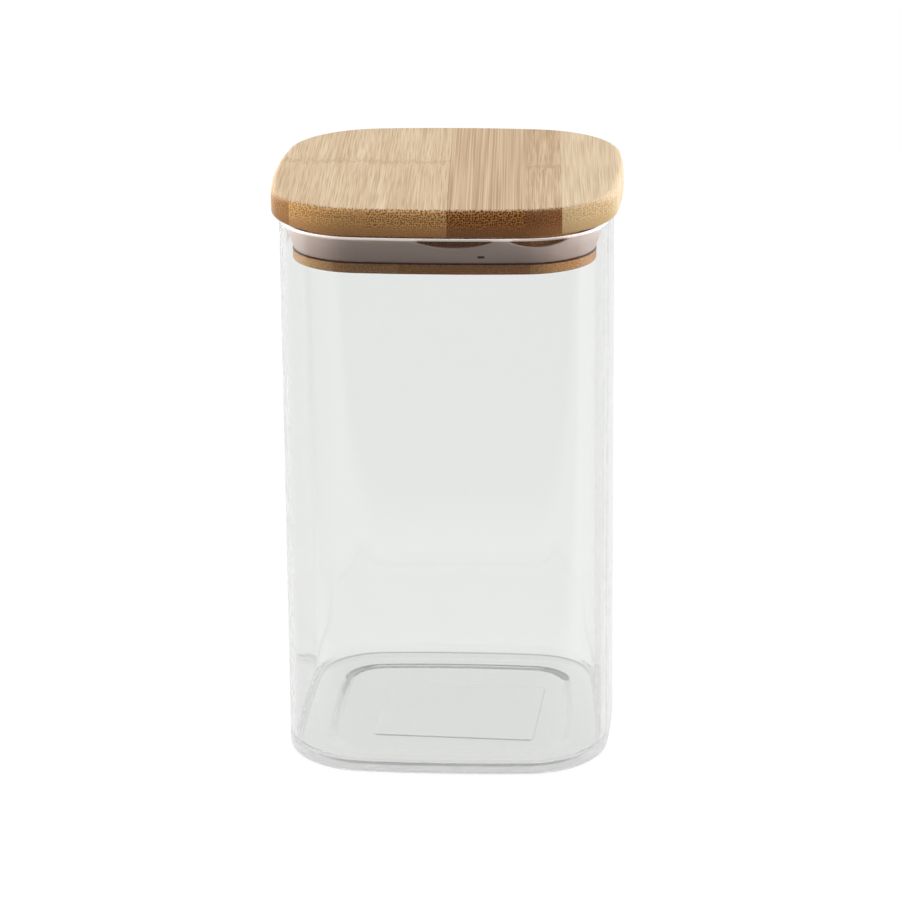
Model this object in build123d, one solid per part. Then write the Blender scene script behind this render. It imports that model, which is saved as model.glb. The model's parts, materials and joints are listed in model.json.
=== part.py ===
from build123d import *
import math
import os

# Square glass jar with a bamboo lid, in millimetres.
# The origin is the middle of the base, on the surface that the jar stands on.
# +Z is up, -Y is the front, and the grain of the bamboo runs almost along Y.

# Glass body
glass_width = 90.0          # across the middle of two opposite sides
glass_height = 152.0
side_radius = 325.0         # the sides bow outwards a little
corner_radius = 23.0
wall = 1.6
base_thickness = 2.8
heel_radius = 2.0           # outside, where the wall turns into the base
floor_radius = 2.4          # inside, where the wall turns into the floor
foot_ring = 7.8             # flat ring that the jar stands on
push_up = 0.7               # how far the underside is pushed up in its middle
push_up_round = 0.5
rim_round = 0.7             # fire-polished rim

# Lid board, glued up from bamboo strips
lid_seat_gap = 1.0          # the seal holds the lid a little above the rim
lid_thickness = 7.4
lid_overhang = 2.5
lid_corner_radius = 27.0
lid_side_radius = 220.0
lid_top_round = 2.2
lid_under_round = 1.2
grain_turn = 2.5            # degrees from Y; the board was sawn a little askew
lid_join_shares = (0.062, 0.278, 0.503, 0.722, 0.821)

# Plug board under the lid, with a groove that holds the seal
plug_gap = 1.9              # from the plug to the inside of the glass
plug_depth = 11.4
flange_height = 2.7
flange_round = 0.5
groove_depth = 3.0
plug_join_shares = (0.138, 0.348, 0.558, 0.768)

# Silicone seal, a ring that flares into a lip
lip_clearance = 0.1
lip_thickness = 0.9
lip_drop = 1.6              # from the underside of the lid to the top of the lip
seal_foot_recess = 0.15     # how far the foot of the seal lies inside the flange
seal_foot_gap = 0.4         # dark line between the seal and the flange
seal_root_height = 4.0      # of the seal where it hugs the plug

# Blank paper sticker under the base
label_width = 45.0
label_depth = 40.0
label_corner_radius = 1.5
label_thickness = 0.2
label_centre_x = 2.3
label_centre_y = -1.6
label_turn = -3.3           # degrees

# Cutting tools reach this far past what they cut
overrun = 5.0

quarter_turns = (0, 90, 180, 270)


def bowed_square(half_width, corner, side, height=0):
    """Face of a square with bowed sides that run smoothly into round corners."""
    side_centre = half_width - side
    reach = side - corner
    corner_centre = (side_centre + math.sqrt(2 * reach**2 - side_centre**2)) / 2
    join_x = side * corner_centre / reach
    join_y = side_centre + side * (corner_centre - side_centre) / reach
    corner_middle = corner_centre + corner * math.sqrt(0.5)
    corner_arc = ThreePointArc((join_x, join_y), (corner_middle, corner_middle), (join_y, join_x))
    side_arc = ThreePointArc((join_y, join_x), (half_width, 0), (join_y, -join_x))
    edges = []
    for turn in quarter_turns:
        edges.append(Rot(0, 0, -turn) * corner_arc)
        edges.append(Rot(0, 0, -turn) * side_arc)
    return Pos(0, 0, height) * make_face(edges)


def glass_outline(inset, height=0):
    """Outline of the glass, moved inwards by the same amount all round."""
    half = glass_width / 2 - inset
    return bowed_square(half, corner_radius - inset, side_radius - inset, height)


def lid_outline(height):
    half = glass_width / 2 + lid_overhang
    return bowed_square(half, lid_corner_radius, lid_side_radius, height)


def lowest_edges(solid):
    return solid.edges().group_by(Axis.Z)[0]


def highest_edges(solid):
    return solid.edges().group_by(Axis.Z)[-1]


def base_recess():
    """Space under the pushed-up middle of the base."""
    inset = heel_radius + foot_ring
    recess = extrude(glass_outline(inset, -overrun), overrun + push_up)
    return fillet(highest_edges(recess), push_up_round)


def jar_inside():
    """Space inside the glass, with a level floor."""
    inside = extrude(glass_outline(wall, base_thickness), glass_height - base_thickness + overrun)
    return fillet(lowest_edges(inside), floor_radius)


def glass_jar():
    body = extrude(glass_outline(0), glass_height)
    body = fillet(lowest_edges(body), heel_radius)
    jar = body - jar_inside() - base_recess()
    return fillet(highest_edges(jar), rim_round)


lid_bottom = glass_height + lid_seat_gap


def lid_board():
    board = extrude(lid_outline(lid_bottom), lid_thickness)
    board = fillet(highest_edges(board), lid_top_round)
    return fillet(lowest_edges(board), lid_under_round)


plug_inset = wall + plug_gap
plug_bottom = lid_bottom - plug_depth
flange_top = plug_bottom + flange_height
neck_inset = plug_inset + groove_depth


def plug_board():
    flange = extrude(glass_outline(plug_inset, plug_bottom), flange_height)
    flange = fillet(lowest_edges(flange), flange_round)
    neck = extrude(glass_outline(neck_inset, flange_top), plug_depth - flange_height)
    return flange + neck


def strips(board, join_shares):
    """Cut a board into its glued strips, from left to right, with every join along the grain."""
    box = board.bounding_box()
    half_width = box.size.X / 2
    joins = [share * box.size.X - half_width for share in join_shares]
    cuts = [-half_width - overrun] + joins + [half_width + overrun]
    grain_frame = Pos(box.center()) * Rot(0, 0, grain_turn)
    pieces = []
    for left, right in zip(cuts, cuts[1:]):
        slab = Box(
            right - left,
            box.size.Y + 2 * overrun,
            box.size.Z + overrun,
            align=(Align.MIN, Align.CENTER, Align.CENTER),
        )
        pieces.append(board & grain_frame * Pos(left, 0, 0) * slab)
    return pieces


def silicone_seal():
    """Ring in the groove of the plug, with a lip that flares out to the glass."""
    foot = flange_top + seal_foot_gap
    lip_top = lid_bottom - lip_drop
    foot_inset = plug_inset + seal_foot_recess
    lip_inset = wall + lip_clearance
    outside = loft([glass_outline(foot_inset, foot), glass_outline(lip_inset, lip_top)], ruled=True)
    root_top = foot + seal_root_height
    funnel_inset = lip_inset + lip_thickness
    funnel = loft([glass_outline(neck_inset, root_top), glass_outline(funnel_inset, lip_top)], ruled=True)
    neck = extrude(glass_outline(neck_inset, foot), seal_root_height)
    return outside - funnel - neck


def base_label():
    """Paper sticker on the underside of the pushed-up base."""
    sheet = RectangleRounded(label_width, label_depth, label_corner_radius)
    sheet = extrude(sheet, label_thickness)
    return Pos(label_centre_x, label_centre_y, push_up - label_thickness) * Rot(0, 0, label_turn) * sheet


nodes = {
    "glass_jar": glass_jar(),
    "silicone_seal": silicone_seal(),
    "base_label": base_label(),
}
for number, strip in enumerate(strips(lid_board(), lid_join_shares), start=1):
    nodes[f"lid_strip_{number}"] = strip
for number, strip in enumerate(strips(plug_board(), plug_join_shares), start=1):
    nodes[f"plug_strip_{number}"] = strip

os.makedirs("parts", exist_ok=True)
for name, shape in nodes.items():
    export_step(shape, f"parts/{name}.step")
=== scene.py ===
# %% [markdown]
# # A square glass jar with a bamboo lid
#
# The jar is a clear glass body with bowed sides, a lid glued up from bamboo strips, a plug under
# the lid with a silicone seal round it, and a paper sticker under the base. The CAD model holds
# every size, and this script gives each piece its finish. We load the model first.

# %% Load the frame
import json
import math

import bpy
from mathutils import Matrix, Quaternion, Vector, noise

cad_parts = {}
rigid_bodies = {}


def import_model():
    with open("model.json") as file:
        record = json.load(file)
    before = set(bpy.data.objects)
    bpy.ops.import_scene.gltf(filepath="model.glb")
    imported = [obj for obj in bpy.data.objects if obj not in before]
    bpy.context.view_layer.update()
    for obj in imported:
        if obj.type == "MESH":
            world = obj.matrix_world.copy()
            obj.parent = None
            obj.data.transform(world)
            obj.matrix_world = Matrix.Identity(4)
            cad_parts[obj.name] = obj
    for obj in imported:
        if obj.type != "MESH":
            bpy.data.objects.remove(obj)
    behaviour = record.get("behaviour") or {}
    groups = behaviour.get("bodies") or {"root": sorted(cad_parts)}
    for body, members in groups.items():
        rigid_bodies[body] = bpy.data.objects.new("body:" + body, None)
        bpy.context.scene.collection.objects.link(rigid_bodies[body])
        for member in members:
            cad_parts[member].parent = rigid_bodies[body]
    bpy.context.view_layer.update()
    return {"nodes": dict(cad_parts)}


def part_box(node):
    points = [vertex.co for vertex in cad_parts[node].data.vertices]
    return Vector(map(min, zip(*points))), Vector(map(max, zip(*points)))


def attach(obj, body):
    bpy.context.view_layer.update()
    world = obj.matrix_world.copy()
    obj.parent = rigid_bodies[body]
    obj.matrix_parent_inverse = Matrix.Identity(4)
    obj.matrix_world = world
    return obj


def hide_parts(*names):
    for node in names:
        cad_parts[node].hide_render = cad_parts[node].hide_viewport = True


for leftover in list(bpy.data.objects):
    bpy.data.objects.remove(leftover)
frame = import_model()
nodes = frame["nodes"]
print("nodes:", ", ".join(sorted(nodes)))

# %% [markdown]
# Most sizes can be read from the model. The glass tells us how wide and tall the jar is, and a lid
# strip, the seal and the sticker tell us where they sit.

# %% Sizes that come from the model
mm = 0.001
glass_low, glass_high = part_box("glass_jar")
glass_half = round(glass_high.x / mm) * mm
rim_top = glass_high.z
lid_low, lid_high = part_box("lid_strip_3")
seal_low, seal_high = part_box("silicone_seal")
label_low, label_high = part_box("base_label")
print(f"glass {2 * glass_half / mm:.1f} mm wide and {(rim_top - glass_low.z) / mm:.1f} mm tall")
print(f"lid board from {lid_low.z / mm:.1f} to {lid_high.z / mm:.1f} mm")

# %% [markdown]
# ## The camera
#
# The photograph was taken with a long lens, a little above the jar and a few degrees to its right.
# A long lens keeps the sides nearly parallel. The numbers come from matching the outlines of the
# lid, the rim and the base.

# %% Place the camera
camera_distance = 1.0703
camera_height = math.radians(18.2)
camera_turn = math.radians(3.8)
camera_roll = math.radians(-0.53)
lens_length = 153.6
film_width = 36
nearest = 0.01
aim = Vector((-0.0004, 0, 0.0793))

camera = bpy.data.objects.new("camera", bpy.data.cameras.new("camera"))
bpy.context.scene.collection.objects.link(camera)
back = Vector((
    math.sin(camera_turn) * math.cos(camera_height),
    -math.cos(camera_turn) * math.cos(camera_height),
    math.sin(camera_height),
))
camera.location = aim + back * camera_distance
camera.rotation_mode = "QUATERNION"
camera.rotation_quaternion = (-back).to_track_quat("-Z", "Y") @ Quaternion((0, 0, 1), camera_roll)
camera.data.lens = lens_length
camera.data.sensor_width = film_width
camera.data.clip_start = nearest
bpy.context.scene.camera = camera
print("camera at", [round(value, 3) for value in camera.location])

# %% [markdown]
# ## Writing shaders as sums
#
# A finish in Blender is a sheet of nodes joined by wires. To keep the recipes readable, one small
# class stands for a wire and takes part in sums, so that `1 - mask` adds the Math node for us. The
# sheet's `node` method makes every other node: its type, its settings, and what feeds its sockets.

# %% A wire that takes part in sums
class Wire:
    """An output socket of a shader node; sums on it add Math nodes."""

    def __init__(self, sheet, socket):
        self.sheet = sheet
        self.socket = socket

    def other(self, output):
        return Wire(self.sheet, self.socket.node.outputs[output])

    def maths(self, operation, *terms):
        return self.sheet.node("Math", {"operation": operation}, dict(enumerate(terms)))

    def __add__(self, other):
        return self.maths("ADD", self, other)

    def __sub__(self, other):
        return self.maths("SUBTRACT", self, other)

    def __rsub__(self, other):
        return self.maths("SUBTRACT", other, self)

    def __mul__(self, other):
        return self.maths("MULTIPLY", self, other)

    def __truediv__(self, other):
        return self.maths("DIVIDE", self, other)

    def __gt__(self, other):
        return self.maths("GREATER_THAN", self, other)

    def __abs__(self):
        return self.maths("ABSOLUTE", self)

    def larger(self, other):
        return self.maths("MAXIMUM", self, other)

    def smaller(self, other):
        return self.maths("MINIMUM", self, other)

    __radd__ = __add__
    __rmul__ = __mul__


print("wires can be added, subtracted, multiplied, divided and compared")


# %% A sheet of shader nodes
class Sheet:
    """The shader nodes of one material or world."""

    def __init__(self, owner):
        owner.use_nodes = True
        self.owner = owner
        self.tree = owner.node_tree

    def node(self, kind, settings=None, inputs=None, output=0):
        made = self.tree.nodes.new("ShaderNode" + kind)
        for name, value in (settings or {}).items():
            setattr(made, name, value)
        for name, value in (inputs or {}).items():
            self.feed(made.inputs[name], value)
        return Wire(self, made.outputs[output])

    def feed(self, socket, value):
        if isinstance(value, Wire):
            self.tree.links.new(value.socket, socket)
        else:
            socket.default_value = value

    def finish(self, shader, **sockets):
        """Feed the sockets of the last shader node, and give back the material or world."""
        for name, value in sockets.items():
            self.feed(self.tree.nodes[shader].inputs[name.replace("_", " ")], value)
        return self.owner

    def mix(self, share, first, second, blend="MIX"):
        settings = {"data_type": "RGBA", "blend_type": blend}
        return self.node("Mix", settings, {0: share, 6: first, 7: second}, output=2)

    def greys(self, share, first, second):
        """A grey that goes from the first strength to the second as share goes from 0 to 1."""
        return self.mix(share, grey(first), grey(second))

    def band(self, value, low, high):
        """0 below low, 1 above high, and a soft step between."""
        settings = {"interpolation_type": "SMOOTHSTEP"}
        return self.node("MapRange", settings, {0: value, 1: low, 2: high})

    def axes(self, kind, output):
        """The x, y and z of a vector, such as a place on the piece or the way a face looks."""
        x = self.node("SeparateXYZ", {}, {0: self.node(kind, output=output)})
        return x, x.other("Y"), x.other("Z")

    def spot(self, x, y=0.0, z=0.0):
        return self.node("CombineXYZ", {}, {0: x, 1: y, 2: z})

    def length(self, x, y):
        settings = {"operation": "LENGTH"}
        return self.node("VectorMath", settings, {0: self.spot(x, y)}, output="Value")

    def noise(self, spot, detail=1.0, roughness=0.5, scale=1.0):
        inputs = {"Vector": spot, "Scale": scale, "Detail": detail, "Roughness": roughness}
        return self.node("TexNoise", {}, inputs)

    def rays(self, output):
        """What the light path says of the ray that asks, such as how often it was mirrored."""
        return self.node("LightPath", output=output)


def material_sheet(name):
    return Sheet(bpy.data.materials.new(name))


print("a sheet makes", ", ".join(name for name in vars(Sheet) if not name.startswith("_")))


# %% Colours
white = (1, 1, 1, 1)


def tone(red, green, blue):
    """A colour as the eye sees it on a screen, 0 to 255, in Blender's linear light."""
    shares = [value / 255 for value in (red, green, blue)]
    linear = [v / 12.92 if v <= 0.04045 else ((v + 0.055) / 1.055) ** 2.4 for v in shares]
    return (*linear, 1)


def grey(strength):
    """A grey that is this strong in linear light."""
    return (strength, strength, strength, 1)


print("the tone 128 is", round(tone(128, 128, 128)[0], 3), "in linear light")

# %% [markdown]
# ## Sweeping a profile round the jar
#
# Jar, seal and lid all share one outline: a square whose sides bow outwards and run smoothly into
# round corners. It is made of eight arcs. Moving it inwards keeps every arc's centre, so one ring
# of points with their outward directions is enough for every wall of the jar. A piece is then a
# profile, a list of (distance inwards, height), carried round that ring.

# %% The bowed square
side_radius = 325 * mm
corner_radius = 23 * mm
side_centre = glass_half - side_radius
centres_apart = side_radius - corner_radius
corner_centre = (side_centre + math.sqrt(2 * centres_apart**2 - side_centre**2)) / 2
lean = math.atan2(corner_centre, corner_centre - side_centre)
side_steps = 28
corner_steps = 26


def arc(centre, radius, start, end, steps):
    """Points on an arc and the outward direction at each, without its last point."""
    made = []
    for step in range(steps):
        angle = start + (end - start) * step / steps
        way = Vector((math.cos(angle), math.sin(angle)))
        made.append((Vector(centre) + radius * way, way))
    return made


def bowed_square():
    """Ring of points round the glass, anticlockwise from the start of its right side."""
    right_angle = math.pi / 2
    ring = []
    for quarter in range(4):
        turn = quarter * right_angle
        around = Quaternion((0, 0, 1), turn).to_matrix().to_2x2()
        side_at = around @ Vector((side_centre, 0))
        corner_at = around @ Vector((corner_centre, corner_centre))
        ring += arc(side_at, side_radius, turn - lean, turn + lean, side_steps)
        ring += arc(corner_at, corner_radius, turn + lean, turn + right_angle - lean, corner_steps)
    return ring


glass_ring = bowed_square()
print("points round the jar:", len(glass_ring))


# %% Carry a profile round the ring
def sweep(profile_at, closed=True, caps=()):
    """Points and faces of profile_at(place) round the jar. A closed profile joins its ends."""
    points, faces = [], []
    for place, way in glass_ring:
        profile = profile_at(place)
        for inwards, height in profile:
            spot = place - way * inwards
            points.append((spot.x, spot.y, height))
    rows = len(profile)
    count = len(glass_ring)
    for column in range(count):
        here, there = column * rows, (column + 1) % count * rows
        for row in range(rows if closed else rows - 1):
            up = (row + 1) % rows
            faces.append((here + row, there + row, there + up, here + up))
    for row in caps:
        loop = [column * rows + row for column in range(count)]
        faces.append(tuple(loop if row else reversed(loop)))
    return points, faces


def bend(centre, radius, start, end, steps):
    """An arc of a profile between two directions in degrees; 0 points inwards and 90 up."""
    made = []
    for step in range(steps + 1):
        angle = math.radians(start + (end - start) * step / steps)
        made.append((centre[0] + radius * math.cos(angle), centre[1] + radius * math.sin(angle)))
    return made


print("a quarter bend of 2 mm ends at", [round(v, 2) for v in bend((0, 0), 2, 0, 90, 4)[-1]])


# %% From a mesh to a piece
def new_piece(name, shape, body, finish):
    """A smooth mesh object that rides on a body and belongs to a material slot."""
    points, faces = shape
    mesh = bpy.data.meshes.new(name)
    mesh.from_pydata(points, [], faces)
    mesh.shade_smooth()
    mesh.validate()
    mesh.materials.append(finish)
    piece = bpy.data.objects.new(name, mesh)
    bpy.context.scene.collection.objects.link(piece)
    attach(piece, body)
    print(name, "has", len(mesh.polygons), "faces")
    return piece


print("new pieces are smooth, and each rides on the jar or the lid")

# %% [markdown]
# ## The glass
#
# The body is one wall of even glass. Its heel is rounded, its inner floor is level, the middle of
# its underside is pushed up a little so that the jar stands on a broad ring, and the rim is melted
# smooth. Clear glass shows only where it bends light, so these round places have to be real
# geometry: the dark arcs of the base come from them, and so does the bright line of the rim,
# together with a faint painted glow on its top. The CAD piece has the same sizes, but its flat
# facets would show as streaks in the glass, so a finer skin takes its place. Beside each bend it
# has one more line of points, a support, which keeps the smooth shading of the bend off the flat
# parts. Its underside is a hair higher than in the CAD piece, so that a film of air lies between
# it and the sticker.

# %% Sizes of the glass
wall = 1.6 * mm
base_thickness = 2.8 * mm
heel_radius = 2.0 * mm
floor_radius = 2.4 * mm
foot_ring = 7.8 * mm
push_up = 0.75 * mm
dome_run = 4.6 * mm
rim_round = 0.75 * mm
support = 0.4 * mm
dome_steps = 16
heel_steps = 14
rim_steps = 8
print(f"base {(base_thickness - push_up) / mm:.2f} mm thick in the middle")


# %% Profile of the glass
def soft_rise(start, length, rise):
    """A slope up from height 0 that starts and ends level, as points going inwards."""
    made = []
    for step in range(dome_steps + 1):
        share = step / dome_steps
        ease = share * share * (3 - 2 * share)
        made.append((start + length * share, rise * ease))
    return made


def glass_profile():
    """From the middle of the underside, out round the heel, up, over the rim and down inside."""
    under = soft_rise(heel_radius + foot_ring, dome_run, push_up)
    under.append((under[-1][0] + support, push_up))
    heel = bend((heel_radius, heel_radius), heel_radius, 270, 180, heel_steps)
    rim_line = rim_top - rim_round
    outside = [(0, heel_radius + support), (0, rim_line - support)]
    rim = bend((rim_round, rim_line), rim_round, 180, 90, rim_steps)
    rim += bend((wall - rim_round, rim_line), rim_round, 90, 0, rim_steps)
    corner_height = base_thickness + floor_radius
    inside = [(wall, rim_line - support), (wall, corner_height + support)]
    edge = bend((wall + floor_radius, corner_height), floor_radius, 180, 270, heel_steps)
    edge.append((edge[-1][0] + support, base_thickness))
    return under[::-1] + heel + outside + rim + inside + edge


profile = glass_profile()
print("the glass profile has", len(profile), "points")

# %% [markdown]
# Glass this thin lets about nine tenths of the light through each wall, so a touch of grey in its
# colour is enough for the veil that it has in front of something white. Three things are helped
# along. Light that has been mirrored inside the wall a few times passes out instead of getting
# lost, light on its way to the lid and the seal isn't stopped by the glass, and the top of the rim
# has a faint painted glow, an emission that stands in for the light that a wall of glass pipes up
# to its cut edge.

# %% Glass finish
painted_glow_starts = rim_top - 0.6 * mm
painted_glow_full = rim_top - 0.3 * mm
mirrorings = (1.5, 3.5)


def glass_finish():
    sheet = material_sheet("clear_glass")
    lost = sheet.band(sheet.rays("Glossy Depth"), *mirrorings)
    height = sheet.axes("TexCoord", "Object")[2]
    # painted glow: the top of the rim gives off a little light of its own
    painted_rim_glow = sheet.band(height, painted_glow_starts, painted_glow_full)
    return sheet.finish(
        "Principled BSDF", Base_Color=tone(247, 248, 247), Roughness=0.0, IOR=1.47,
        Transmission_Weight=1.0, Alpha=(1 - lost) * (1 - sheet.rays("Is Shadow Ray")),
        Emission_Color=sheet.mix(painted_rim_glow, grey(0), tone(250, 244, 238)), Emission_Strength=0.4,
    )


shape = sweep(lambda place: profile, closed=False, caps=(0, len(profile) - 1))
glass = new_piece("jar_glass", shape, "jar", glass_finish())
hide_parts("glass_jar")

# %% [markdown]
# ## The silicone seal
#
# The seal is a soft ring pushed over the neck of the plug. Its foot is narrow and its lip flares
# out until it meets the glass. It is never perfectly even: where the lip dips, the dark wood of
# the neck shows above it as a long dark spindle. We sweep the same kind of profile as before, but
# let the height of the lip depend on the place.

# %% Sizes of the seal
lip_inset = wall + 0.12 * mm
lip_tip = 0.45 * mm
foot_inset = wall + 2.05 * mm
foot_bevel = 0.25 * mm
neck_inset = wall + 4.9 * mm
neck_bevel = 0.6 * mm
seal_foot = seal_low.z
root_top = seal_foot + 4.0 * mm
root_low = seal_foot + 3.7 * mm
lip_top = seal_high.z
lip_arc = (165, 20)
lip_steps = 8
uneven_run = 14 * mm
uneven_depth = 0.5 * mm
front_share = 0.9
lip_dips = (
    (4.0 * mm, 12.0 * mm, 2.1 * mm),
    (26.6 * mm, 9.4 * mm, 1.9 * mm),
    (-16.5 * mm, 9.5 * mm, 0.5 * mm),
)
print(f"seal {(lip_top - seal_foot) / mm:.1f} mm tall, with {len(lip_dips)} dips in its lip")


# %% Profile of the seal
def lip_dip(place):
    """How far the lip hangs below its highest line at a place on the ring."""
    uneven = noise.noise(Vector((place.x, place.y, 0)) / uneven_run)
    drop = uneven_depth * (0.5 + uneven)
    if place.y < 0 and abs(place.x) < glass_half * front_share:
        for middle, half_run, depth in lip_dips:
            reach = 1 - ((place.x - middle) / half_run) ** 2
            drop = max(drop, depth * max(0, reach))
    return max(0, drop)


def seal_profile(place):
    """Up the outside from the foot, over the lip, and down to the neck."""
    top = lip_top - lip_dip(place)
    foot = [(foot_inset + foot_bevel, seal_foot), (foot_inset, seal_foot + foot_bevel)]
    lip = bend((lip_inset + lip_tip, top - lip_tip), lip_tip, *lip_arc, lip_steps)
    root = [(neck_inset - neck_bevel, root_top), (neck_inset, root_low)]
    return foot + lip + root + [(neck_inset, seal_foot)]


deepest = max(lip_dip(place) for place, way in glass_ring)
print(f"the lip dips by {deepest / mm:.1f} mm at most")

# %% [markdown]
# Silicone looks paler where it is thin, so its colour lightens towards the lip. Its front has one
# small dark mark, such as a mould leaves. It is too flat to be a shape, so the colour draws it.

# %% Silicone finish
mark_place = (11.0 * mm, seal_foot + 1.9 * mm)
mark_size = (1.0 * mm, 0.4 * mm)
mark_soft = (0.8, 0.7)
front_side = (0, -10 * mm)


def silicone_finish():
    sheet = material_sheet("milky_silicone")
    x, y, height = sheet.axes("TexCoord", "Object")
    paler = sheet.band(height, seal_foot, lip_top)
    colour = sheet.mix(paler, tone(232, 206, 193), tone(255, 234, 224))
    beside = 1 - sheet.band(abs(x - mark_place[0]) / mark_size[0], mark_soft[0], 1.0)
    level = 1 - sheet.band(abs(height - mark_place[1]) / mark_size[1], mark_soft[1], 1.0)
    mark = beside * level * sheet.band(y, *front_side)
    return sheet.finish(
        "Principled BSDF", Base_Color=sheet.mix(mark, colour, tone(60, 50, 46)), Roughness=0.32,
        IOR=1.41, Transmission_Weight=0.2,
    )


seal = new_piece("seal_ring", sweep(seal_profile), "lid", silicone_finish())
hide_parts("silicone_seal")

# %% [markdown]
# ## Bamboo
#
# Bamboo is a bundle of fibres set in pale pith, thickest together near the outer skin. Each strip
# is sawn along the fibres, so its ends show dots and its faces show fine dashes. A solid texture
# gives both at once: a pattern of cells across the strip that climbs slowly as it runs along the
# grain, so that a level cut meets each bundle for a short way only.

# %% Places in the wood
grain_turn = math.radians(2.5)


def wood_places(sheet):
    """Millimetres across the strip, along it and up, as three wires."""
    x, y, z = (axis / mm for axis in sheet.axes("TexCoord", "Object"))
    across = x * math.cos(grain_turn) + y * math.sin(grain_turn)
    along = y * math.cos(grain_turn) - x * math.sin(grain_turn)
    return across, along, z


print(f"the grain is turned by {math.degrees(grain_turn):.1f} degrees")

# %% [markdown]
# A bundle is a spot in each cell of a cell pattern. Real bundles are neither round nor alike, so a
# noise moves their edges in and out.

# %% Bundles of fibres
dot_cell, dot_size = 0.58, 0.5
dash_cell, dash_size = 0.8, 0.27
bundle_heart = 0.3
scatter = 0.7
frayed = 0.25
frays_per_mm = 1.6


def bundles(sheet, across, level, cell, size, seed):
    """1 inside a bundle of fibres and 0 between them; size is its share of the cell."""
    settings = {"voronoi_dimensions": "2D", "feature": "F1"}
    spot = sheet.spot(across / cell + seed, level / cell)
    inputs = {"Vector": spot, "Scale": 1.0, "Randomness": scatter}
    distance = sheet.node("TexVoronoi", settings, inputs)
    edge = sheet.noise(sheet.spot(across * frays_per_mm + seed, level * frays_per_mm)) - 0.5
    return 1 - sheet.band(distance + edge * frayed, size * bundle_heart, size)


print(f"dots every {dot_cell} mm and dashes every {dash_cell} mm, more or less")

# %% [markdown]
# A bamboo culm has knuckles. Where one crosses a strip, the fibres swerve for a centimetre and a
# thin ragged line runs over the board. The same ripple bends the fibres and the line.

# %% Knuckles
knuckle_heart, knuckle_reach = 1.0, 9.0
ripple_across, ripple_along = 1.6, 4.5
swerve_across, swerve_up = 1.8, 0.6
line_swerve = 14
line_width = (0.2, 3.2)


def knuckle(sheet, across, along, height, node_at, seed):
    """Swerved fibres round a knuckle, as new places across and up, and the line that it leaves."""
    from_line = along - node_at
    near = 1 - sheet.band(abs(from_line), knuckle_heart, knuckle_reach)
    spot = sheet.spot(across / ripple_across + seed, along / ripple_along)
    ripple = sheet.noise(spot, 2.0) - 0.5
    line = 1 - sheet.band(abs(from_line + ripple * line_swerve), *line_width)
    return across + ripple * near * swerve_across, height + ripple * near * swerve_up, line


print(f"a knuckle is felt {knuckle_reach:.0f} mm along the strip")

# %% [markdown]
# Along the grain the wood shows streaks, many fine ones and a few broad ones. Across the grain it
# shows the dots. The normal of a face tells the two apart: the front and back of a strip look
# along y. On the rounded edges the ground colour changes a little before the dots do.

# %% Faces and ends
fine_per_mm = 2.4
broad_across, broad_along, broad_up = 1.7, 70, 5
fine_share = 0.65
rounded_share = 0.3


def streaked_face(sheet, wood, across, along, height, run, seed):
    """Colour of a face cut along the grain, and its fine streaks, which the bump uses too."""
    fine = sheet.noise(sheet.spot(across * fine_per_mm + seed, along / run), 2.0, 0.65)
    spot = sheet.spot(across / broad_across + seed, along / broad_along, height / broad_up)
    broad = sheet.band(sheet.noise(spot), 0.3, 0.7)
    streaks = sheet.band(fine, 0.36, 0.64) * fine_share + broad * (1 - fine_share)
    return sheet.mix(streaks, wood["pale"], wood["dark"]), fine


def cut_ends(sheet):
    """How far a face is cut across the grain: for its ground colour, and for its dots."""
    endways, upwards = sheet.axes("NewGeometry", "Normal")[1:]
    ground = sheet.band(abs(endways) + (1 - abs(upwards)) * rounded_share, 0.2, 0.8)
    return ground, sheet.band(abs(endways), 0.05, 0.5)


print(f"fine streaks are about {1 / fine_per_mm:.1f} mm wide and broad ones {broad_across} mm")

# %% [markdown]
# One recipe serves every strip. It mixes the face first, then the ground colour of the ends, then
# the dots, which are dense near the skin on top and fade below, and last the thin dark lines of
# glue. The bundles are a little rougher than the pith and lie a few hundredths of a millimetre
# lower.
#
# Each strip can differ. The bundles climb faster or slower, a streak has a shorter or longer run,
# the grain has more or less wave, and the dots show strongly where the skin of the culm was near.

# %% Bamboo finish
wander_across, wander_along = 9, 28
dash_squeeze, dash_climb = 1.5, 0.8
skin_side = (1.2, 4.4)
faded = 0.34
line_strength, glue_strength = 0.3, 0.12
glue_line = (0.05, 0.35)
pore_depth = 0.05 * mm


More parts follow.
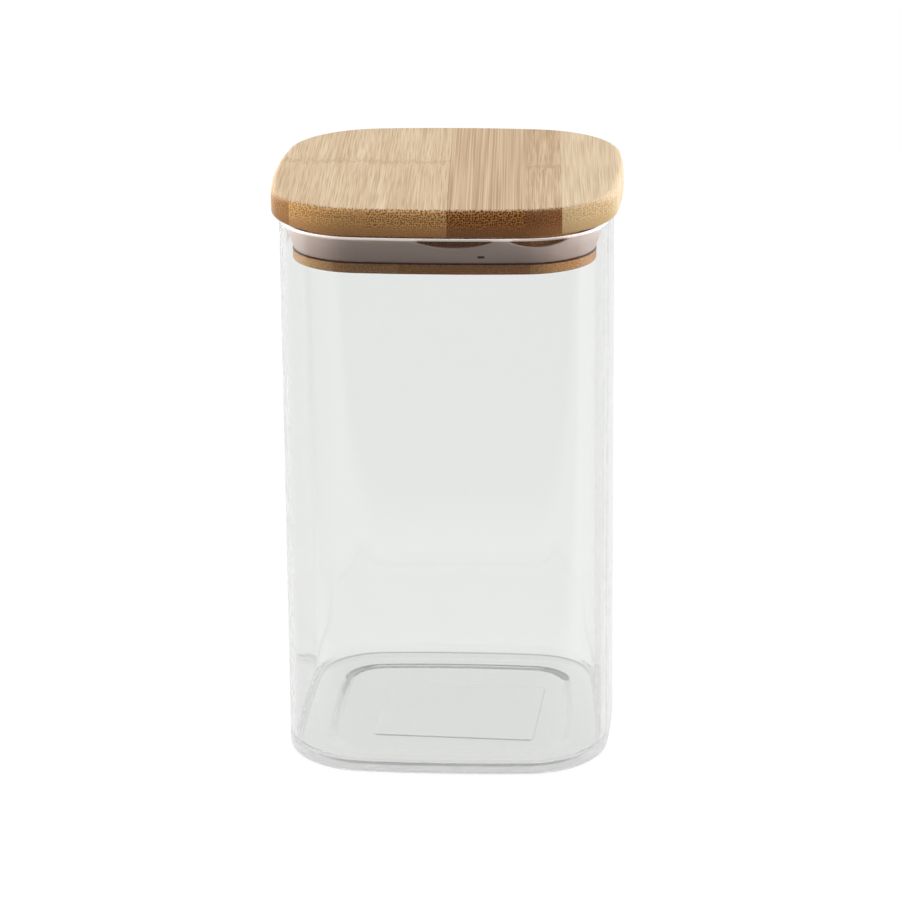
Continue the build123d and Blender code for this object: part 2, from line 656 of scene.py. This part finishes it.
def bamboo(
    name, wood, seed, climb=0.035, node_at=None, dashed=0.45, run=30, wave=0.7, skin=1.0,
    joins=(), dense_from=lid_low.z,
):
    """Wood of one strip. wood names its colours, and node_at is where a knuckle crosses it."""
    sheet = material_sheet(name)
    straight, along, height = wood_places(sheet)
    spot = sheet.spot(straight / wander_across + seed, along / wander_along, height / wander_across)
    across = straight + (sheet.noise(spot) - 0.5) * wave
    if node_at is not None:
        across, height, line = knuckle(sheet, across, along, height, node_at, seed)
    dots = bundles(sheet, across, height + along * climb, dot_cell, dot_size, seed)
    dash_level = height * dash_squeeze + along * climb * dash_climb
    dashes = bundles(sheet, across, dash_level, dash_cell, dash_size, seed + 0.4)

    face, fine = streaked_face(sheet, wood, across, along, height, run, seed)
    face = sheet.mix(dashes * dashed, face, wood["dash"])
    if node_at is not None:
        face = sheet.mix(line * line_strength, face, wood["dash"])

    ground, speckled = cut_ends(sheet)
    dense = sheet.band(height, *(dense_from / mm + reach for reach in skin_side))
    pith = sheet.mix(dense, wood["end_low"], wood["end_pale"])
    colour = sheet.mix(ground, face, pith)
    shown = dots * speckled * (faded + dense * (1 - faded)) * skin
    colour = sheet.mix(shown, colour, wood["end_dark"])
    for join in joins:
        glue = 1 - sheet.band(abs(straight - join), *glue_line)
        colour = sheet.mix(glue * glue_strength, colour, wood["end_dark"])

    relief = {"Height": dots * 0.5 + fine * 0.5, "Strength": 0.25, "Distance": pore_depth}
    return sheet.finish(
        "Principled BSDF", Base_Color=colour, Roughness=0.50 + dots * 0.12,
        Normal=sheet.node("Bump", {"invert": True}, relief), Specular_IOR_Level=0.2,
    )


print("bamboo recipe ready")

# %% [markdown]
# The strips come from different culms and differ in colour: three tan ones on the left, two darker
# ones in the middle and a pale one on the right. The ends of the leftmost strip are darker still,
# painted shade for the left end of the lid. The plug under the lid has dark faces, partly its own
# wood and partly painted shade for the groove between seal and flange, and its two end strips have
# paler ends, partly their own colour and partly painted light at the corners. A wood names three
# tones of its faces and three of its ends.

# %% Colours of the woods
tan = {
    "pale": tone(226, 204, 171), "dark": tone(197, 168, 132), "dash": tone(170, 139, 103),
    "end_pale": tone(206, 158, 100), "end_low": tone(173, 127, 80), "end_dark": tone(96, 50, 16),
}
# painted shade: the leftmost strip's ends are a darker copy of the tan
tan_shaded_left = dict(tan, end_pale=tone(160, 115, 66), end_low=tone(144, 101, 59))
brown = {
    "pale": tone(221, 195, 161), "dark": tone(180, 148, 112), "dash": tone(158, 124, 89),
    "end_pale": tone(168, 112, 58), "end_low": tone(137, 92, 55), "end_dark": tone(46, 14, 2),
}
smooth_brown = dict(brown, end_pale=tone(136, 90, 52))
light = {
    "pale": tone(228, 207, 177), "dark": tone(205, 179, 143), "dash": tone(182, 152, 115),
    "end_pale": tone(193, 166, 125), "end_low": tone(176, 147, 105), "end_dark": tone(146, 108, 66),
}
# painted shade: the plug's face tones are dark partly for the groove between seal and flange
plug_brown_and_shaded = {
    "pale": tone(150, 84, 44), "dark": tone(126, 68, 34), "dash": tone(104, 54, 26),
    "end_pale": tone(194, 136, 82), "end_low": tone(150, 100, 58), "end_dark": tone(96, 48, 16),
}
# painted light: the first and last plug strips have paler ends partly for the lit corners
plug_pale_and_lit = dict(plug_brown_and_shaded, end_pale=tone(218, 172, 120), end_dark=tone(140, 92, 50))
plug_gold_and_lit = dict(plug_brown_and_shaded, end_pale=tone(210, 158, 104), end_dark=tone(116, 66, 30))
plug_amber = dict(plug_brown_and_shaded, end_pale=tone(206, 154, 102))
print("each wood has the tones", ", ".join(tan))

# %% [markdown]
# The seeds only shift the pattern, so that no two strips look alike. The fourth strip was sawn so
# that its fibres lie nearly level: they climb slowly and show as long straight lines.

# %% Dress the strips
lid_half = lid_high.y / mm
join_shares = (0, 0.062, 0.278, 0.503, 0.722, 0.821, 1)
lid_joins = [share * 2 * lid_half - lid_half for share in join_shares]
lid_looks = (
    dict(wood=tan_shaded_left, seed=1.3, node_at=8.4, skin=0.45),
    dict(wood=tan, seed=14.1, node_at=7.4, skin=0.65),
    dict(wood=tan, seed=27.7, node_at=5.6, skin=0.9),
    dict(wood=brown, seed=41.2, climb=0.004, dashed=0.5, run=160, wave=0.25, joins=lid_joins[3:5]),
    dict(wood=smooth_brown, seed=55.9, node_at=0.0, skin=0.6),
    dict(wood=light, seed=69.4, climb=0.02, skin=0.6),
)
plug_woods = (plug_pale_and_lit, plug_amber, plug_brown_and_shaded, plug_brown_and_shaded, plug_gold_and_lit)
plug_seed, plug_seed_step = 80.0, 13.7

for number, look in enumerate(lid_looks, start=1):
    finish = bamboo(f"lid_bamboo_{number}", **look)
    nodes[f"lid_strip_{number}"].material_slots[0].material = finish
for number, wood in enumerate(plug_woods, start=1):
    seed = plug_seed + number * plug_seed_step
    finish = bamboo(f"plug_bamboo_{number}", wood, seed, skin=0.5, dense_from=0)
    nodes[f"plug_strip_{number}"].material_slots[0].material = finish
print("lid joins at", [round(join, 1) for join in lid_joins], "mm")

# %% [markdown]
# ## The sticker
#
# A plain white paper sticker is stuck under the base. Seen through the glass it is hardly darker
# than the floor, so its paper is thin and lets most of the floor show through. Only its front and
# right rims stand out, with a painted shadow along them that is darker and less see-through,
# strongest at the front.

# %% Paper finish
label_turn = math.radians(-3.3)
label_width = 45 * mm
label_depth = 40 * mm
rim_width = 0.35 * mm
front_shadow, right_shadow = 0.8, 0.2
paper_cover, shadow_cover = 0.14, 0.5
fibres_per_metre = 900.0


def paper_rim(sheet, outwards, size):
    """1 along the rim of the sticker on the side that outwards points to."""
    return sheet.band(outwards, size / 2 - 2 * rim_width, size / 2 - rim_width)


def paper_finish():
    sheet = material_sheet("label_paper")
    fibre = sheet.noise(sheet.node("TexCoord", output="Object"), 2.0, scale=fibres_per_metre)
    middle = (label_low + label_high) / 2
    x, y = sheet.axes("TexCoord", "Object")[:2]
    x, y = x - middle.x, y - middle.y
    to_right = x * math.cos(label_turn) + y * math.sin(label_turn)
    to_front = x * math.sin(label_turn) - y * math.cos(label_turn)
    front_rim = paper_rim(sheet, to_front, label_depth)
    right_rim = paper_rim(sheet, to_right, label_width)
    # painted shadow: the front and right rims darken and hide more of the floor
    painted_rim_shadow = (front_rim * front_shadow).larger(right_rim * right_shadow)
    colour = sheet.mix(fibre, tone(238, 238, 240), tone(228, 228, 231))
    return sheet.finish(
        "Principled BSDF", Base_Color=sheet.mix(painted_rim_shadow, colour, tone(120, 120, 122)),
        Roughness=0.8, Alpha=paper_cover + painted_rim_shadow * shadow_cover,
    )


nodes["base_label"].material_slots[0].material = paper_finish()
print("sticker", [round(value / mm, 1) for value in label_high - label_low], "mm")

# %% [markdown]
# ## Floor, light and surroundings
#
# The photograph is a studio picture: a bright white room behind the jar and a dark one round the
# camera. The camera sees white wherever it looks, straight or through the glass. What the glass
# mirrors, and what lights the wood, is bright behind the jar and dim in front of it, and that is
# why the front of the lid is so much darker than its corners. One recipe serves the floor and the
# world. It asks each ray how it came: straight, mirrored, through the glass or scattered.


# %% A room that is bright at the back
def studio_light(sheet, seen, mirror, fill, fill_inside):
    """What a straight ray finds, what a mirrored one finds, and what lights the matt surfaces."""
    mirrored = sheet.band(sheet.rays("Glossy Depth"), 0, 1)
    inside = sheet.band(sheet.rays("Transmission Depth"), 0, 1)
    scattered = sheet.band(sheet.rays("Diffuse Depth"), 0, 1)
    return sheet.mix(
        scattered, sheet.mix(mirrored, seen, mirror), sheet.mix(inside, fill, fill_inside),
    )


side_grey = 0.82
dim_front = 0.12
print(f"the front of the room is mirrored at {dim_front:.0%} of white")

# %% [markdown]
# The floor is a touch greyer under the jar, most of all in a ring along its heel, where the glass
# keeps light out. To draw that ring we need to know how far a place lies outside the glass. The
# outline is a bowed square, so the answer is measured from the arc that the place belongs to.

# %% How far outside the glass
floor_reach = 6.0
floor_gap = 0.03 * mm


def beyond_glass(sheet, x, y):
    """How far a place on the floor lies outside the glass, with the inside below 0."""
    wide, narrow = x.larger(y), x.smaller(y)
    from_side = sheet.length(wide - side_centre, narrow) - side_radius
    from_corner = sheet.length(wide - corner_centre, narrow - corner_centre) - corner_radius
    slope = corner_centre / (corner_centre - side_centre)
    in_corner = narrow > (wide - side_centre) * slope
    return in_corner * from_corner + (1 - in_corner) * from_side


print(f"the arcs of a corner meet the sides {math.degrees(lean):.1f} degrees off their middle")

# %% Floor finish
floor_glow = 0.9
under_front, under_back = 0.89, 1.0
ring_front, ring_back = 0.82, 0.57
ring_inside = (-2.2 * mm, -0.6 * mm)
ring_outside = (-0.3 * mm, 1.2 * mm)
glass_back = (glass_half * 0.5, glass_half * 0.95)
side_reach, side_lean = (0.25, 0.6), 0.3
rear_starts = (-0.12, -0.05)
often_mirrored = (1.5, 3.0)
often_grey, back_grey = 0.9, 0.85
floor_fill, floor_fill_inside = (0.2, 0.5), (0.03, 0.4)


def floor_finish():
    sheet = material_sheet("floor")
    x, y = sheet.axes("NewGeometry", "Position")[:2]
    outside = beyond_glass(sheet, abs(x), abs(y))
    under = sheet.greys(sheet.band(y, -glass_half, glass_half), under_front, under_back)
    ring = sheet.greys(sheet.band(y, *glass_back), ring_front, ring_back)
    shade = sheet.mix(sheet.band(outside, *ring_inside), under, ring)
    shade = sheet.mix(sheet.band(outside, *ring_outside), shade, white)

    through = sheet.band(sheet.rays("Transmission Depth"), 0, 1)
    side = sheet.band(abs(x) - y * side_lean, *side_reach)
    seen = sheet.mix(through, white, sheet.mix(side, shade, grey(side_grey)))
    rear = sheet.band(y, *rear_starts)
    often = sheet.band(sheet.rays("Glossy Depth"), *often_mirrored)
    mirror = sheet.mix(rear, sheet.greys(often, dim_front, often_grey), grey(back_grey))
    mirror = sheet.mix(1.0, mirror, shade, "MULTIPLY")
    fills = (sheet.greys(rear, *strengths) for strengths in (floor_fill, floor_fill_inside))
    return sheet.finish(
        "Principled BSDF", Base_Color=tone(92, 92, 92), Roughness=1.0, Specular_IOR_Level=0.0,
        Emission_Color=studio_light(sheet, seen, mirror, *fills), Emission_Strength=floor_glow,
    )


print(f"the floor turns white {ring_outside[1] / mm:.1f} mm outside the glass")


# %% Lay the floor
def stage_floor():
    mesh = bpy.data.meshes.new("floor")
    ways = ((-1, -1), (1, -1), (1, 1), (-1, 1))
    corners = [(x * floor_reach, y * floor_reach, -floor_gap) for x, y in ways]
    mesh.from_pydata(corners, [], [(0, 1, 2, 3)])
    mesh.materials.append(floor_finish())
    floor = bpy.data.objects.new("floor", mesh)
    bpy.context.scene.collection.objects.link(floor)


stage_floor()
print(f"floor laid, {2 * floor_reach:.0f} m across")

# %% [markdown]
# Three soft lamps shape the wood. One on each side lights the ends of the seal and the corners of
# the lid, and a weak one above and behind keeps the top even. The glass and the camera don't see
# them, so they leave no square highlights.

# %% Lamps
jar_middle = Vector((0, 0, 0.1))


def lamp(name, place, size, power):
    """A rectangular lamp that points at the jar and lights only matt surfaces."""
    light = bpy.data.lights.new(name, "AREA")
    light.shape = "RECTANGLE"
    light.size, light.size_y = size
    light.energy = power
    made = bpy.data.objects.new(name, light)
    bpy.context.scene.collection.objects.link(made)
    made.location = place
    made.rotation_mode = "QUATERNION"
    made.rotation_quaternion = (jar_middle - Vector(place)).to_track_quat("-Z", "Y")
    made.visible_camera = made.visible_glossy = made.visible_transmission = False
    print(name, "lamp of", power, "W")


lamp("left", (-1.2, 0.1, 0.3), (0.8, 0.5), 15)
lamp("right", (1.2, -0.08, 0.3), (0.8, 0.5), 14)
lamp("top", (0, 0.35, 1.4), (1.2, 1.2), 4)

# %% [markdown]
# The world is the room itself. Behind the jar it is bright and in front it is dim, as on the
# floor. A greyer patch hangs high in the middle: the curved glass of the base mirrors it, and it
# gives the base its dark arcs.

# %% Surroundings
room_dim, room_bright = (-0.4, 0.3)
patch_height = (0.4, 0.6)
patch_half = (0.2, 0.5)
patch_grey = 0.36
straight_behind = (0.85, 0.97)
behind_grey, middle_grey = 0.75, 0.6
beside = (0.25, 0.5)
room_fill, room_fill_inside = (0.44, 0.9), (0.05, 0.8)


def surroundings():
    sheet = Sheet(bpy.data.worlds.new("studio"))
    x, y, height = sheet.axes("TexCoord", "Generated")
    rear = sheet.band(y, room_dim, room_bright)
    patch = sheet.band(height, *patch_height) * (1 - sheet.band(abs(x), *patch_half))
    behind = sheet.greys(sheet.band(y, *straight_behind), behind_grey, middle_grey)
    mirror = sheet.mix(patch, sheet.mix(rear, grey(dim_front), behind), grey(patch_grey))
    seen = sheet.mix(sheet.band(abs(x), *beside), white, grey(side_grey))
    fills = (sheet.greys(rear, *strengths) for strengths in (room_fill, room_fill_inside))
    return sheet.finish(
        "Background", Color=studio_light(sheet, seen, mirror, *fills), Strength=1.0,
    )


bpy.context.scene.world = surroundings()
bpy.context.scene.view_settings.view_transform = "Standard"
print("the room is", bpy.context.scene.world.name)

# %% [markdown]
